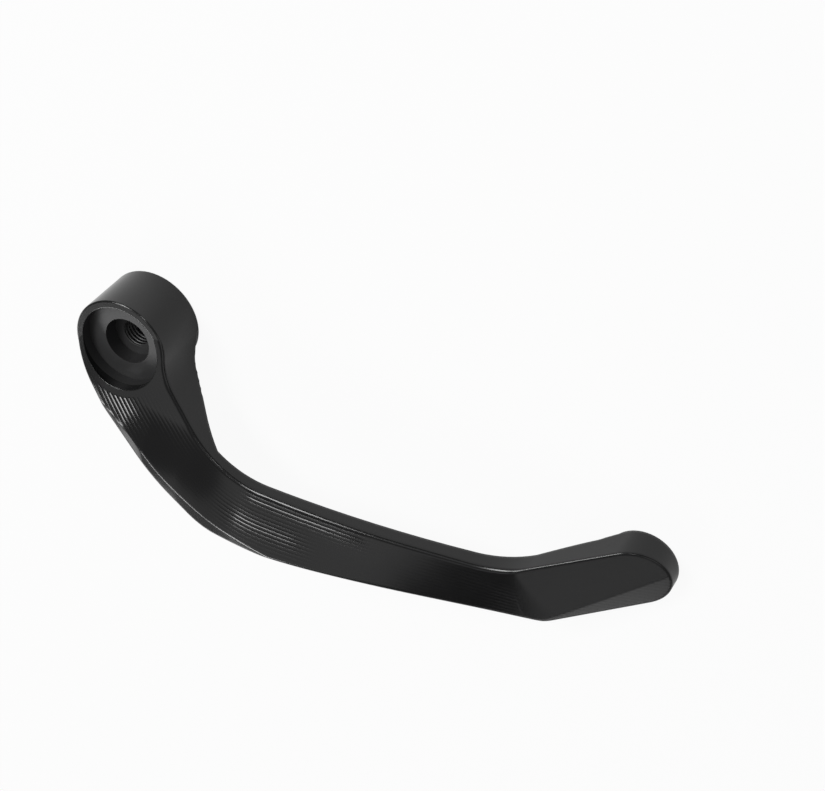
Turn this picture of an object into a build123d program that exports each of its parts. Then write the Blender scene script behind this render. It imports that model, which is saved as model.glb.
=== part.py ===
"""Brake lever guard: one milled aluminium piece with a bar-end boss, an arched arm and a rounded tip.

Millimetres. The bar-end axis is Z through the origin. Z = 0 is the boss face that meets the bar end,
+Z points outboard, +X points from the boss to the tip hole, and the arm bulges to -Y.
"""
import os
from math import acos, asin, atan2, cos, degrees, hypot, radians, sin, sqrt, tan

from build123d import *

# Bar-end boss
BOSS_R = 15.0             # outer radius
BOSS_LENGTH = 18.0        # bar-end face to outer rim
RIM_BREAK = 0.35          # broken edge on the outer rim
RIM_WALL = 2.2            # wall round the recess
RECESS_R = BOSS_R - RIM_WALL    # wide shallow recess in the outer face
RECESS_FLOOR = 14.5       # height of its floor
HEAD_R = 7.3              # bore for the bolt head
HEAD_FLOOR = 9.5          # height of the seat under the bolt head
BOLT_R = 4.25             # clearance hole for an M8 bolt
CONE_R = BOSS_R - 4.6     # mouth of the cone in the bar-end face
CONE_DEPTH = 4.2          # depth of that cone

# Tip
TIP_X = 158.6             # boss axis to tip hole
TIP_R = 10.4              # rounded end and its flat pad
TIP_HOLE_R = 2.5          # drill for an M6 thread
TIP_HOLE_DEPTH = 5.0
TIP_HOLE_CHAMFER = 0.7

# Plan of the arm: corners before rounding, the rounding radii, and how far both edges pass the boss axis
OUTER_RUN = (17.6, -37.9)
OUTER_BEND = (36.4, -47.3)
OUTER_ELBOW = (140.8, -27.0)
INNER_ELBOW = (124.8, -12.3)
INNER_BEND = (38.4, -24.2)
OUTER_RUN_R = 60.0
OUTER_BEND_R = 16.0
OUTER_ELBOW_R = 8.0
INNER_ELBOW_R = 34.0
INNER_BEND_R = 31.0
OUTER_CLEAR = BOSS_R + 1.5
INNER_CLEAR = BOSS_R - 5.0
OUTER_SWELL_R = 26.0      # blend from the boss into the outer edge
NECK_R = 17.0             # hollow between the boss and the inner edge

# Outer face of the arm: heights along two lines, ruled between them
FACE_X = (-20.0, 0.0, 20.0, 60.0, 88.0, 111.0, 132.0, 176.0)
NEAR_Y = 5.0
NEAR_Z = (17.0, 17.8, 19.0, 20.0, 22.0, 20.6, 19.2, 12.5)
FAR_Y = -45.0
FAR_Z = (18.0, 26.0, 24.4, 25.3, 21.7, 16.4, 10.4, -0.6)
TIP_FACE_Z = 8.3          # flat face of the tip: height over the tip hole, fall along X, rise along Y
TIP_FALL = 0.326
TIP_LEAN = 0.1135
BEVEL_Z = 21.1            # height where the bevel along the outer side starts
BEVEL_LEAN = 69.0         # lean of the bevel from upright
BEVEL_R = 60.0            # wide bend by which it runs out of the arm
BEVEL_RUNOUT = 9.0        # how far outside the arm it ends
BEVEL_MARGIN = 0.8        # how far outside the arm it starts
FACET_START = (140.5, -26.3)   # line on the tip face where the tip facet starts
FACET_END = (165.4, 2.7)
FACET_SLOPE = 0.42        # fall of the facet, away from that line
EDGE_R = 0.9              # rounding of the edges of the arm's outer face

# Back of the arm
BACK_TOP = 18.5           # highest point of the arched back rim
BACK_TOP_X = 52.0
BACK_ARCH_R = 350.0
BOSS_RAMP = 0.564         # slope of the rim up from the boss, and the radius where it would start
BOSS_RAMP_START = 8.5
TIP_RAMP = 0.40           # the same at the tip
TIP_RAMP_START = 4.5
RAMP_EASE = 4.0           # hollow where both ramps meet the boss and the tip
BOSS_LIP = 1.0            # step up from the bar-end face before its ramp
TIP_LIP = 0.5
POCKET_RAMP = 0.70        # pocket floor at the boss end
POCKET_RAMP_START = 11.9
POCKET_TIP_RAMP = 0.80    # pocket floor at the tip end
POCKET_TIP_START = 9.75
RIM_WIDTH = 1.8           # wall left beside the pocket
SKIN = 3.0                # thickness left over the pocket
POCKET_FILLET = 1.2       # ball-nose corner round the pocket floor
RIB_START = (54.0, -33.8)   # low rib along the pocket floor
RIB_END = (133.2, -20.4)
RIB_WIDTH = 4.0
RIB_HEIGHT = 1.0
BOSS_STEP = 1.9           # cutter passes left visible round the boss and the tip
BOSS_STEPS = 6
TIP_STEP = 1.7
TIP_STEPS = 5
CUSP = 0.18               # depth of one cutter pass
REACH = 220.0             # how far the cutting shapes carry on past the part


def unit(heading):
    return Vector(cos(radians(heading)), sin(radians(heading)))


def heading(a, b):
    return degrees(atan2(b.Y - a.Y, b.X - a.X))


def rounded(points, radii):
    """Edges of an open path with its inner corners rounded."""
    edges, start = [], points[0]
    for before, corner, after, radius in zip(points, points[1:], points[2:], radii):
        into, out = (corner - before).normalized(), (after - corner).normalized()
        turn = acos(max(-1.0, min(1.0, into.dot(out))))
        first, last = corner - into * (radius * tan(turn / 2)), corner + out * (radius * tan(turn / 2))
        middle = corner + (out - into).normalized() * (radius / cos(turn / 2) - radius)
        edges += [Line(start, first), ThreePointArc(first, middle, last)]
        start = last
    return edges + [Line(start, points[-1])]


def past(point, centre, clear):
    """Heading of the line from a point that passes a centre at a given distance, on its left."""
    reach = hypot(centre.X - point.X, centre.Y - point.Y)
    return heading(point, centre) - degrees(asin(clear / reach))


def outer_edge():
    """Heading of the outer edge as it leaves the boss."""
    return past(Vector(*OUTER_RUN), Vector(0, 0), -OUTER_CLEAR) + 180


def swell():
    """Wide arc that eases the boss into the outer edge: its points on the boss, half way and on the edge."""
    along, side = unit(outer_edge()), unit(outer_edge() - 90)
    drop = OUTER_CLEAR - OUTER_SWELL_R
    centre = side * drop + along * sqrt((OUTER_SWELL_R - BOSS_R) ** 2 - drop ** 2)
    middle = centre + (side - centre.normalized()).normalized() * OUTER_SWELL_R
    return centre.normalized() * -BOSS_R, middle, centre + side * OUTER_SWELL_R


def plan_outline():
    """Closed outline of the guard seen along the bar-end axis."""
    boss, tip = Vector(0, 0), Vector(TIP_X, 0)
    out_first, out_bend, out_elbow = Vector(*OUTER_RUN), Vector(*OUTER_BEND), Vector(*OUTER_ELBOW)
    in_elbow, in_bend = Vector(*INNER_ELBOW), Vector(*INNER_BEND)
    swell_boss, swell_mid, swell_line = swell()

    # both edges run into the round tip as tangents
    out_run = past(out_elbow, tip, TIP_R)
    in_run = past(in_elbow, tip, -TIP_R)
    tip_out, tip_in = tip + unit(out_run - 90) * TIP_R, tip + unit(in_run + 90) * TIP_R
    tip_end = tip + unit((out_run + in_run) / 2) * TIP_R

    # hollow neck between the inner edge and the boss, touching both
    run = past(in_bend, boss, INNER_CLEAR)
    lean = unit(run - 90)
    height = INNER_CLEAR + NECK_R
    neck = lean * height - unit(run) * sqrt((BOSS_R + NECK_R) ** 2 - height ** 2)
    neck_line, neck_boss = neck - lean * NECK_R, neck.normalized() * BOSS_R
    neck_mid = neck - (lean + neck.normalized()).normalized() * NECK_R
    crown = (swell_boss + neck_boss).normalized() * BOSS_R
    crown = crown if crown.Y > 0 else crown * -1

    edges = [ThreePointArc(swell_boss, swell_mid, swell_line)]
    edges += rounded([swell_line, out_first, out_bend, out_elbow, tip_out],
                     [OUTER_RUN_R, OUTER_BEND_R, OUTER_ELBOW_R])
    edges += [ThreePointArc(tip_out, tip_end, tip_in)]
    edges += rounded([tip_in, in_elbow, in_bend, neck_line], [INNER_ELBOW_R, INNER_BEND_R])
    edges += [ThreePointArc(neck_line, neck_mid, neck_boss), ThreePointArc(neck_boss, crown, swell_boss)]
    return make_face(edges)


def under_face(drop=0.0):
    """Everything below the outer face of the arm, lowered by drop."""
    near = [Vector(x, NEAR_Y, z - drop) for x, z in zip(FACE_X, NEAR_Z)]
    far = [Vector(x, FAR_Y, z - drop) for x, z in zip(FACE_X, FAR_Z)]
    ends = []
    # both lines are carried outward so that the whole plan lies between them
    for a, b, on in ((near, far, 0.4), (far, near, 0.2)):
        top = [p + (p - q) * on for p, q in zip(a, b)]
        low = [Vector(p.X, p.Y, -40) for p in (top[-1], top[0])]
        ends.append(make_face([Spline(top), Polyline(top[-1], low[0], low[1], top[0])]))
    return loft(ends, ruled=True)


def over_tip(drop=0.0):
    """Everything above the flat face of the tip, lowered by drop."""
    face = Plane(origin=(TIP_X, 0, TIP_FACE_Z - drop), z_dir=(TIP_FALL, -TIP_LEAN, 1))
    return face * Pos(0, 0, 50) * Box(800, 800, 100)


def under_ramp(centre, inner, lip, slope, start, step=0.0, steps=0):
    """Space behind a ramp that rises round a centre, the first passes of the cutter left visible."""
    def height(r):
        ease = max(0.0, 1 - (r - inner) / RAMP_EASE)
        return slope * (r - start) - (slope * (inner - start) - lip) * ease ** 2

    if not steps:
        step, steps = RAMP_EASE / 2, 2
    points = [Vector(inner + step * i, 0, height(inner + step * i)) for i in range(steps + 1)]
    edges = [Line((inner, 0, -10), points[0])]
    for a, b in zip(points, points[1:]):
        across = Vector(a.Z - b.Z, 0, b.X - a.X).normalized()
        edges.append(ThreePointArc(a, (a + b) * 0.5 + across * CUSP, b))
    far = inner + REACH
    edges.append(Polyline(points[-1], (far, 0, height(far)), (far, 0, -10), (inner, 0, -10)))
    return Pos(centre, 0, 0) * revolve(make_face(edges), Axis.Z)


def under_arch():
    """Space behind the arched back rim."""
    half, top = REACH, BACK_TOP
    low = top - BACK_ARCH_R + sqrt(BACK_ARCH_R ** 2 - half ** 2)
    ends = [Vector(BACK_TOP_X + half * s, 100, low) for s in (-1, 1)]
    arc = ThreePointArc(ends[0], (BACK_TOP_X, 100, top), ends[1])
    base = Polyline(ends[1], (ends[1].X, 100, -120), (ends[0].X, 100, -120), ends[0])
    return extrude(make_face([arc, base]), amount=200, dir=(0, -1, 0))


def bevel_keep():
    """Everything inside the bevel along the outer side of the arm."""
    first, middle, last = swell()
    before = first - unit(heading(Vector(0, 0), first) + 90) * REACH
    run, bend = Vector(*OUTER_RUN), Vector(*OUTER_BEND)
    down, along = heading(run, bend), heading(bend, Vector(*OUTER_ELBOW))
    corner = bend + unit(down) * (BEVEL_RUNOUT / sin(radians(along - down)))
    after = corner + unit(along) * REACH
    path = [Line(before, first), ThreePointArc(first, middle, last)]
    path += rounded([last, run, corner, after], [OUTER_RUN_R, BEVEL_R])
    path.append(Polyline(after, (after.X, REACH), (before.X, REACH), before))
    base = Pos(0, 0, BEVEL_Z) * offset(make_face(path), BEVEL_MARGIN)
    return extrude(base, amount=7, taper=BEVEL_LEAN) + Pos(0, 0, BEVEL_Z - 50) * Box(800, 800, 100)


def top_edges(blank):
    """Edges between the outer face and the side walls, clear of the boss."""
    facing = [(f, f.normal_at(f.center()).Z) for f in blank.faces()]
    top = [e for f, up in facing if up > 0.1 for e in f.edges()]
    wall = [e for f, up in facing if abs(up) < 0.001 for e in f.edges()]
    clear = [e for e in top if hypot((e @ 0.5).X, (e @ 0.5).Y) > BOSS_R + 0.1]
    return [e for e in clear if any(e.is_same(w) for w in wall)]


def facet_cut():
    """Wedge taken off the outer corner of the tip."""
    def on_tip(x, y):
        return Vector(x, y, TIP_FACE_Z - TIP_FALL * (x - TIP_X) + TIP_LEAN * y)

    a, b = on_tip(*FACET_START), on_tip(*FACET_END)
    along = (b - a).normalized()
    side = Vector(b.Y - a.Y, a.X - b.X).normalized()
    up = (side - Vector(0, 0, FACET_SLOPE)).cross(along).normalized()
    up = up if up.Z > 0 else up * -1
    return Plane(origin=a, x_dir=along, z_dir=up) * Pos(20, 0, 20) * Box(120, 160, 40)


def pocket():
    """Long pocket in the back of the arm, with a low rib along its floor."""
    inside = extrude(Pos(0, 0, -10) * offset(plan, -RIM_WIDTH), amount=60)
    space = inside & under_face(SKIN)
    space = fillet([e for e in space.edges() if e.bounding_box().min.Z > 0], POCKET_FILLET)
    space = (space & Pos(0, 0, -SKIN) * bevel_keep()) - over_tip(SKIN)
    space &= under_ramp(0, BOSS_R, POCKET_RAMP * (BOSS_R - POCKET_RAMP_START), POCKET_RAMP, POCKET_RAMP_START)
    space &= under_ramp(TIP_X, TIP_R, POCKET_TIP_RAMP * (TIP_R - POCKET_TIP_START), POCKET_TIP_RAMP,
                        POCKET_TIP_START, TIP_STEP, 2 * TIP_STEPS)
    a, b = Vector(*RIB_START), Vector(*RIB_END)
    length = (b - a).length
    rib = Pos(a.X, a.Y, 0) * Rot(0, 0, heading(a, b)) * Pos(length / 2, 0, 20) * Box(length, RIB_WIDTH, 60)
    return space - (rib - under_face(SKIN + RIB_HEIGHT))


def boss_holes():
    """Recess, bolt head bore, bolt hole and back cone, as one turned shape."""
    top = BOSS_LENGTH + REACH
    steps = [(0, -1), (CONE_R, -1), (CONE_R, 0), (BOLT_R, CONE_DEPTH), (BOLT_R, HEAD_FLOOR),
             (HEAD_R, HEAD_FLOOR), (HEAD_R, RECESS_FLOOR), (RECESS_R, RECESS_FLOOR),
             (RECESS_R, top), (0, top)]
    return revolve(make_face(Polyline(*[(r, 0, z) for r, z in steps], close=True)), Axis.Z)


def tip_hole():
    """Blind drilled hole in the tip pad, with a chamfered mouth and a drill point."""
    r, c = TIP_HOLE_R, TIP_HOLE_CHAMFER
    steps = [(0, -1), (r + c + 1, -1), (r, c), (r, TIP_HOLE_DEPTH), (0, TIP_HOLE_DEPTH + r * 0.6)]
    return Pos(TIP_X, 0, 0) * revolve(make_face(Polyline(*[(x, 0, z) for x, z in steps], close=True)), Axis.Z)


plan = plan_outline()

# arm and boss as one blank, the outer face shaped
guard = extrude(Pos(0, 0, -1) * plan, amount=45) & under_face()
guard = fillet(top_edges(guard), EDGE_R) & bevel_keep()
guard -= over_tip()
guard -= facet_cut()
guard += chamfer(extrude(Circle(BOSS_R), amount=BOSS_LENGTH).edges().sort_by(Axis.Z)[-1], RIM_BREAK)

# back: arched rim with a ramp to the boss and one to the tip, flat bar-end face and tip pad, pocket
behind = under_arch() & under_ramp(0, BOSS_R, BOSS_LIP, BOSS_RAMP, BOSS_RAMP_START, BOSS_STEP, BOSS_STEPS)
behind &= under_ramp(TIP_X, TIP_R, TIP_LIP, TIP_RAMP, TIP_RAMP_START)
guard -= behind
guard -= Pos(0, 0, -20) * Box(600, 300, 40)
guard -= pocket()
guard -= boss_holes()
guard -= tip_hole()

os.makedirs("parts", exist_ok=True)
export_step(guard, "parts/lever_guard.step")
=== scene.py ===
from math import atan, cos, pi, radians, sin

import bpy
from mathutils import Matrix, Vector

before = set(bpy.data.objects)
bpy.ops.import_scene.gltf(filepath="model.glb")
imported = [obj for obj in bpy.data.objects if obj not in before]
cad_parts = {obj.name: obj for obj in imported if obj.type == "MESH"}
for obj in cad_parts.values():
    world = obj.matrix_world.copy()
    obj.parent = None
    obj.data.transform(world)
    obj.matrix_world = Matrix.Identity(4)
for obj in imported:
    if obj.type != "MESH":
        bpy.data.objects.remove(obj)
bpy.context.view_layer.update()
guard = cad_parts["lever_guard"]
MM = 0.001                      # one millimetre in metres

# Turned sizes, in millimetres; the boss stands round the origin
BOSS_R, BOSS_LENGTH = 15.0, 18.0
RECESS_R = 12.8                 # the pocket for the cap
BOLT_R = 4.25
THREAD_PITCH, THREAD_DEPTH = 1.25, 0.5
FADE, WIDE_FADE = 0.2, 2.0      # over which a mask round a turned face comes and goes

# Cutter paths on the outer face, in millimetres: they keep their distance from the inner edge of the arm,
# so they run straight, bend round one centre and run straight again
BEND_CENTRE = (49.4, 8.6)
BEND_R = 31.0                   # the inner edge at the bend
BEND_FROM, BEND_TO = -134.9, -82.1      # degrees round that centre where the bend starts and ends
STEP_OVER = 1.35                # between two paths
CUSP = 0.12                     # height of the ridge left between two paths, where it is deepest
POLISHED = 0.02                 # share of that height everywhere else
# where the ridges show: middle, heading in degrees, length, width, soft border, share of the height
RIDGED = [
    ((5, -16.5), -30, 20, 9, 4, 1.0),
    ((16, -17), -12, 30, 8, 4, 0.25),
    ((57, -33), 6, 26, 8, 6, 0.8),
    ((68, -23), 6, 38, 4.5, 3, 0.8),
    ((124, -22), -20, 16, 12, 4, 0.12),
]

# The face climbs from the boss to the arm, in millimetres
RAMP_FROM, RAMP_TO = -13.0, -42.0       # across the arm
RAMP_COMES, RAMP_GOES = (5, 15), (48, 26)       # along the arm
RAMP_RISE = 3.6

# The crease between arm and tip, in millimetres: x over y is a bowed line through one place
ELBOW_PLACE = (131.1, -19.3)
ELBOW_LEAN, ELBOW_BOW = -0.426, 0.0132
ELBOW_FALL, ELBOW_FALL_GAIN = 0.159, 0.0037     # how much steeper the tip falls, and its gain per mm inwards
ELBOW_ROUND, ELBOW_ROUND_GAIN = 7.0, -0.6       # reach of the blend each side, and its gain per mm inwards
ELBOW_ROUND_LEAST = 2.0
ELBOW_SOFT = 0.05               # mm2, keeps the blend smooth on the crease itself

# Black anodising
FILM_BLACK = (0.004, 0.004, 0.0042, 1)
BORE_PAINTED_LIGHT_GREY = (0.022, 0.022, 0.0225, 1)          # lighter base in the turned bores, painted light that brightens the recess and bolt hole
FILM_ROUGHNESS, CLOUD_ROUGHNESS, BORE_ROUGHNESS = 0.15, 0.08, 0.28
CLOUD_SCALE, GRAIN_SCALE = 60.0, 2600.0         # per metre
GRAIN_HEIGHT = 0.0015           # mm
FINE_EDGE, BROKEN_EDGE = 0.35, 1.3      # mm, edge breaks of the boss and of the arm
EDGE_SAMPLES = 16
FACE_TILT = (0.8, 0.93)         # upward share of the normal between a wall and the outer face

# Floor: how much of it is plain white to the eye and in reflections, the rest is lit by the lamps
FLOOR_GREY = (0.6, 0.6, 0.6, 1)
SEEN_WHITE, MIRRORED_WHITE = 0.93, 0.2
LAMP_SIDE_PAINTED_LIGHT, ARM_SIDE_PAINTED_LIGHT = 0.6, 0.08     # painted light: extra white in reflections only, beyond the boss and beside the arm
LAMP_SIDE, LAMP_SIDE_SPAN = (-0.77, 0.64), (0, 25)      # direction in plan, and mm along it
ARM_SIDE_SPAN = (30, 60)        # mm along x

# Studio, in metres
MIDDLE = Vector((0.08, -0.015, 0.01))   # of the part
FLOOR_WIDTH, FLOOR_GAP = 6, 0.0005
FLAG_WIDTH, FLAG_PLACE = 0.2, (-82, 31, 0.8)    # azimuth and elevation in degrees, distance
FLAG_BLACK = (0.02, 0.02, 0.02, 1)
LAMP_DISTANCE = 1.2
# soft boxes: name, azimuth and elevation in degrees, size, brightness of the face
SOFT_BOXES = [
    ("key", 139, 48, (0.46, 0.46), 16),
    ("strip", -118, 28, (0.69, 0.25), 9),
    ("fill", -112, 49, (0.9, 0.55), 0.38),
    ("front", 80, 50, (0.15, 0.15), 12),
    ("neck_fill", 0, 46, (0.9, 0.6), 0.6),
    ("overhead", 95, 68, (0.9, 0.6), 0.5),
    ("tip_fill", -66, 30, (0.26, 0.14), 0.4),
    ("tip_strip", -71, 16, (0.32, 0.15), 1.6),
]
WORLD_WHITE = 0.2

# Camera, fitted to the photograph
PHOTO_WIDTH, FOCAL_LENGTH = 825, 2000   # pixels
SENSOR = 36.0                   # mm
NEAREST, FURTHEST = 0.01, 50    # metres that the camera sees
CAMERA_PLACE = (0.206558, 0.373182, 0.406101)
CAMERA_RIGHT = (0.8731, 0.201522, -0.443942)
CAMERA_UP = (-0.432941, 0.739178, -0.515925)
CAMERA_BACK = (0.224182, 0.642655, 0.732623)


class Socket:
    """An output socket that takes part in Python sums; each sum adds its own Math node."""

    def __init__(self, tree, output):
        self.tree, self.output = tree, output

    def math(self, operation, a, b=None):
        node = self.tree.nodes.new("ShaderNodeMath")
        node.operation = operation
        for slot, value in zip(node.inputs, (a, b)):
            if isinstance(value, Socket):
                self.tree.links.new(value.output, slot)
            elif value is not None:
                slot.default_value = value
        return Socket(self.tree, node.outputs[0])

    def __add__(self, other): return self.math("ADD", self, other)
    def __radd__(self, other): return self.math("ADD", other, self)
    def __sub__(self, other): return self.math("SUBTRACT", self, other)
    def __rsub__(self, other): return self.math("SUBTRACT", other, self)
    def __mul__(self, other): return self.math("MULTIPLY", self, other)
    def __rmul__(self, other): return self.math("MULTIPLY", other, self)
    def __truediv__(self, other): return self.math("DIVIDE", self, other)
    def sin(self): return self.math("SINE", self)
    def cos(self): return self.math("COSINE", self)
    def abs(self): return self.math("ABSOLUTE", self)
    def root(self): return self.math("SQRT", self)
    def angle(self, across): return self.math("ARCTAN2", self, across)
    def least(self, other): return self.math("MINIMUM", self, other)
    def most(self, other): return self.math("MAXIMUM", self, other)

    def step(self, low, high):
        """0 below low, 1 above high, smooth between; falls instead where low is above high."""
        t = ((self - low) / (high - low)).most(0).least(1)
        return t * t * (3 - 2 * t)


class Finish:
    """A material under construction: one method adds any node, sockets do the sums."""

    def __init__(self, name):
        self.material = bpy.data.materials.new(name)
        self.material.use_nodes = True
        self.tree = self.material.node_tree
        self.tree.nodes.clear()

    def node(self, kind, settings=None, numbered=None, **named):
        """Any node: its settings first, then its sockets by number or by name."""
        node = self.tree.nodes.new(kind)
        for key, value in (settings or {}).items():
            setattr(node, key, value)
        sockets = dict(numbered or {}, **{key.replace("_", " "): value for key, value in named.items()})
        for key, value in sockets.items():
            slot = node.inputs[key]
            if isinstance(value, Socket):
                self.tree.links.new(value.output, slot)
            else:
                slot.default_value = value
        return node

    def out(self, node, name=0):
        return Socket(self.tree, node.outputs[name])

    def place(self):
        """Object coordinates: x, y and z in millimetres, and the vector itself."""
        coords = self.out(self.node("ShaderNodeTexCoord"), "Object")
        parts = self.node("ShaderNodeSeparateXYZ", Vector=coords)
        return [self.out(parts, axis) / MM for axis in "XYZ"] + [coords]

    def blend(self, share, first, second):
        """Mix of two vectors."""
        mix = self.node("ShaderNodeMix", {"data_type": "VECTOR"}, {0: share, 4: first, 5: second})
        return self.out(mix, 1)

    def surface(self, shader):
        output = self.node("ShaderNodeOutputMaterial")
        self.tree.links.new(shader.outputs[0], output.inputs["Surface"])
        return self.material


def patch(along, across, centre, heading, length, width, soft):
    """1 inside a turned rectangle of the plan, fading to 0 over its soft border."""
    c, s = cos(radians(heading)), sin(radians(heading))
    x, y = along - centre[0], across - centre[1]
    u, v = (x * c + y * s).abs(), (y * c - x * s).abs()
    return u.step(length / 2 + soft, length / 2 - soft) * v.step(width / 2 + soft, width / 2 - soft)


def cutter_marks(x, y):
    """Shallow ridges left between the cutter paths, in millimetres of height."""
    dx, dy = x - BEND_CENTRE[0], y - BEND_CENTRE[1]
    reach, turn = (dx * dx + dy * dy).root(), dy.angle(dx)
    outside = (radians(BEND_FROM) - turn).most(turn - radians(BEND_TO)).most(0)
    path = reach * outside.cos() - BEND_R
    ridge = 1 - (path * (pi / STEP_OVER)).sin().abs()
    strength = 0
    for centre, heading, length, width, soft, share in RIDGED:
        strength = (patch(x, y, centre, heading, length, width, soft) * share).most(strength)
    return ridge * (POLISHED + strength * (1 - POLISHED)) * CUSP


def boss_ramp(x, y):
    """The face climbs fastest just off the boss and then levels out, in millimetres of height."""
    t = ((y - RAMP_FROM) / (RAMP_TO - RAMP_FROM)).most(0).least(1)
    left = 1 - t
    climb = 1 - left * left * left * (1 + 3 * t)
    return climb * x.step(*RAMP_COMES) * x.step(*RAMP_GOES) * RAMP_RISE


def elbow_blend(x, y):
    """Rounds the crease between the arm's face and the flat tip, in millimetres of height."""
    inwards = y - ELBOW_PLACE[1]
    past = x - ELBOW_PLACE[0] - inwards * ELBOW_LEAN - inwards * inwards * ELBOW_BOW
    across = past * cos(atan(ELBOW_LEAN))
    reach = (ELBOW_ROUND + inwards * ELBOW_ROUND_GAIN).most(ELBOW_ROUND_LEAST)
    near = (reach - (across * across + ELBOW_SOFT).root()).most(0)
    fall = ELBOW_FALL + inwards * ELBOW_FALL_GAIN
    return near * near / reach * fall * (-1 / 4)


def bolt_thread(x, y, z, radius):
    """Thread turns in the bolt hole, in millimetres of height."""
    turns = z / THREAD_PITCH - y.angle(x) / (2 * pi)
    wave = (turns * (2 * pi)).sin() * (THREAD_DEPTH / 2)
    return wave * radius.step(BOLT_R + 2 * FADE, BOLT_R + FADE)


def eased_edges(f, radius, bore):
    """Normal with its edges broken: little round the boss, more on the arm, not at all in the bores."""
    sharp = f.out(f.node("ShaderNodeNewGeometry"), "Normal")
    fine, broken = [f.out(f.node("ShaderNodeBevel", {"samples": EDGE_SAMPLES}, Radius=edge * MM))
                    for edge in (FINE_EDGE, BROKEN_EDGE)]
    return f.blend(radius.step(BOSS_R, BOSS_R + WIDE_FADE), f.blend(bore, fine, sharp), broken)


def black_anodised():
    """Satin black anodising on milled aluminium, with cutter marks on the outer face."""
    f = Finish("black_anodised")
    x, y, z, place = f.place()
    radius = (x * x + y * y).root()
    inside = radius.step(RECESS_R + 2 * FADE, RECESS_R + FADE / 2)
    bore = inside * z.step(BOSS_LENGTH - FADE / 2, BOSS_LENGTH - 2 * FADE)
    normal = f.node("ShaderNodeSeparateXYZ", Vector=f.out(f.node("ShaderNodeTexCoord"), "Normal"))
    face = f.out(normal, "Z").step(*FACE_TILT) * radius.step(BOSS_R - FADE, BOSS_R + 1.5 * FADE)
    grain = f.out(f.node("ShaderNodeTexNoise", Vector=place, Scale=GRAIN_SCALE, Detail=2.0))
    cloud = f.out(f.node("ShaderNodeTexNoise", Vector=place, Scale=CLOUD_SCALE, Detail=3.0))
    height = (cutter_marks(x, y) + boss_ramp(x, y) + elbow_blend(x, y)) * face
    height = height + bolt_thread(x, y, z, radius) + grain * GRAIN_HEIGHT
    bump = f.node("ShaderNodeBump", Height=height, Distance=MM, Strength=1.0,
                  Normal=eased_edges(f, radius, bore))
    # the bores get the lighter base colour: painted light in the recess and bolt hole
    colour = f.node("ShaderNodeMix", {"data_type": "RGBA"}, {0: bore, 6: FILM_BLACK, 7: BORE_PAINTED_LIGHT_GREY})
    roughness = FILM_ROUGHNESS + cloud * CLOUD_ROUGHNESS + bore * BORE_ROUGHNESS
    return f.surface(f.node("ShaderNodeBsdfPrincipled", Base_Color=f.out(colour, 2), Roughness=roughness,
                            Normal=f.out(bump)))


def floor_white():
    """White floor with a faint shadow, seen directly or mirrored; painted shade makes it dark under the
    boss, and painted light makes it whiter in reflections beyond the boss and beside the arm.
    """
    f = Finish("floor_white")
    x, y = f.place()[:2]
    # painted shade: the white is left out under the boss, where the boss stands on the floor
    clear_of_painted_boss_shade = (x * x + y * y).root().step(BOSS_R - WIDE_FADE, BOSS_R - FADE)
    # painted light: the floor is whiter in reflections on the lamp side beyond the boss and beside the arm
    painted_light_lamp_side = (y * LAMP_SIDE[1] + x * LAMP_SIDE[0]).step(*LAMP_SIDE_SPAN)
    painted_light_arm_side = x.step(*ARM_SIDE_SPAN)
    rays = f.node("ShaderNodeLightPath")
    mirrored = f.out(rays, "Is Glossy Ray").most(f.out(rays, "Is Transmission Ray"))
    mirrored = mirrored * (MIRRORED_WHITE + painted_light_lamp_side * LAMP_SIDE_PAINTED_LIGHT + painted_light_arm_side * ARM_SIDE_PAINTED_LIGHT)
    seen = (f.out(rays, "Is Camera Ray") * SEEN_WHITE).most(mirrored) * clear_of_painted_boss_shade
    lit = f.node("ShaderNodeBsdfDiffuse", Color=FLOOR_GREY)
    white = f.node("ShaderNodeEmission", Color=(1, 1, 1, 1), Strength=1.0)
    return f.surface(f.node("ShaderNodeMixShader", None, {0: seen, 1: f.out(lit), 2: f.out(white)}))


def flag_black():
    """Matt black cloth of the studio flag."""
    f = Finish("flag_black")
    return f.surface(f.node("ShaderNodeBsdfPrincipled", Base_Color=FLAG_BLACK, Roughness=0.9))


def toward(azimuth, elevation, distance):
    """Place at a distance from the middle of the part, by compass direction and height."""
    a, e = radians(azimuth), radians(elevation)
    return Vector((cos(a) * cos(e), sin(a) * cos(e), sin(e))) * distance + MIDDLE


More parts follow.
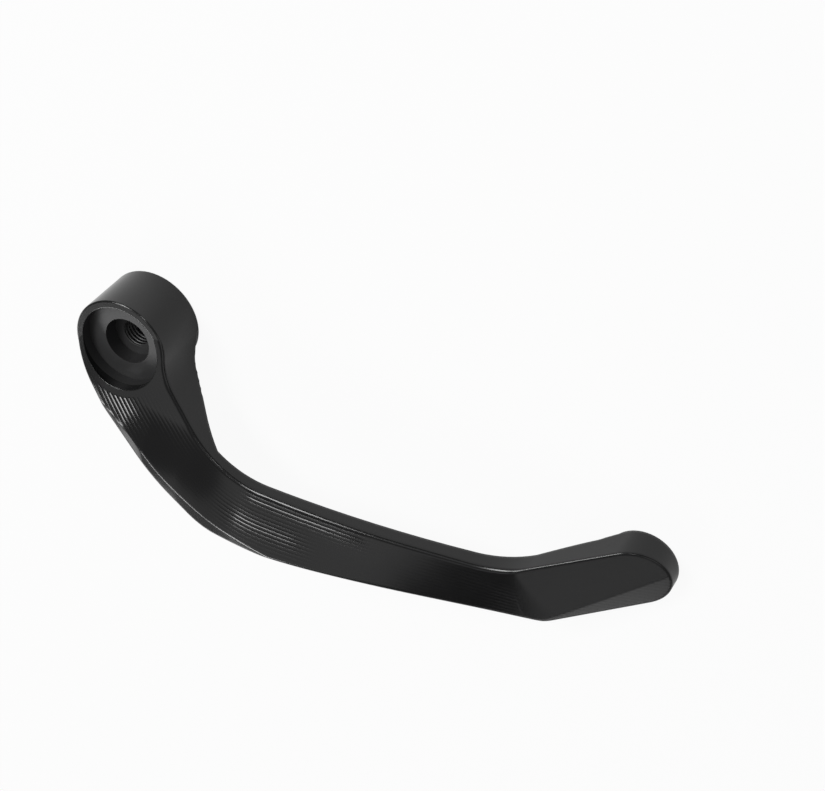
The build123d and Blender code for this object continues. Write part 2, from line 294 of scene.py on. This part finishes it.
def card(name, width, place, aim, material):
    """Flat square card of the studio, turned to face a point."""
    bpy.ops.object.select_all(action="DESELECT")
    bpy.ops.mesh.primitive_plane_add(size=1)
    body = bpy.context.object
    body.name, body.location = name, place
    body.rotation_euler = (Vector(aim) - Vector(place)).to_track_quat("Z", "Y").to_euler()
    body.scale = (width, width, 1)
    bpy.ops.object.transform_apply(location=False, rotation=True, scale=True)
    body.data.materials.append(material)


def soft_box(name, azimuth, elevation, size, brightness):
    """Soft box aimed at the part; its watts follow from its size and how bright its face looks."""
    lamp = bpy.data.lights.new(name, "AREA")
    lamp.shape, lamp.size, lamp.size_y = "RECTANGLE", size[0], size[1]
    lamp.energy = brightness * pi * size[0] * size[1]
    body = bpy.data.objects.new(name, lamp)
    bpy.context.scene.collection.objects.link(body)
    body.location = toward(azimuth, elevation, LAMP_DISTANCE)
    body.rotation_euler = (MIDDLE - body.location).to_track_quat("-Z", "Y").to_euler()


def dim_world():
    """Even white light from all round."""
    world = bpy.data.worlds.new("studio")
    bpy.context.scene.world = world
    world.use_nodes = True
    background = world.node_tree.nodes["Background"]
    background.inputs["Color"].default_value = (1, 1, 1, 1)
    background.inputs["Strength"].default_value = WORLD_WHITE


def fitted_camera():
    """Camera at the photograph's place and angle."""
    lens = bpy.data.cameras.new("camera")
    lens.sensor_fit, lens.sensor_width = "HORIZONTAL", SENSOR
    lens.lens = FOCAL_LENGTH * SENSOR / PHOTO_WIDTH
    lens.clip_start, lens.clip_end = NEAREST, FURTHEST
    camera = bpy.data.objects.new("camera", lens)
    bpy.context.scene.collection.objects.link(camera)
    turned = Matrix((CAMERA_RIGHT, CAMERA_UP, CAMERA_BACK)).transposed().to_4x4()
    camera.matrix_world = Matrix.Translation(CAMERA_PLACE) @ turned
    bpy.context.scene.camera = camera


guard.data.materials.clear()
guard.data.materials.append(black_anodised())

card("floor", FLOOR_WIDTH, (0, 0, -FLOOR_GAP), (0, 0, 1), floor_white())
card("flag", FLAG_WIDTH, toward(*FLAG_PLACE), MIDDLE, flag_black())
for box in SOFT_BOXES:
    soft_box(*box)
dim_world()
fitted_camera()
bpy.context.scene.view_settings.view_transform = "Standard"
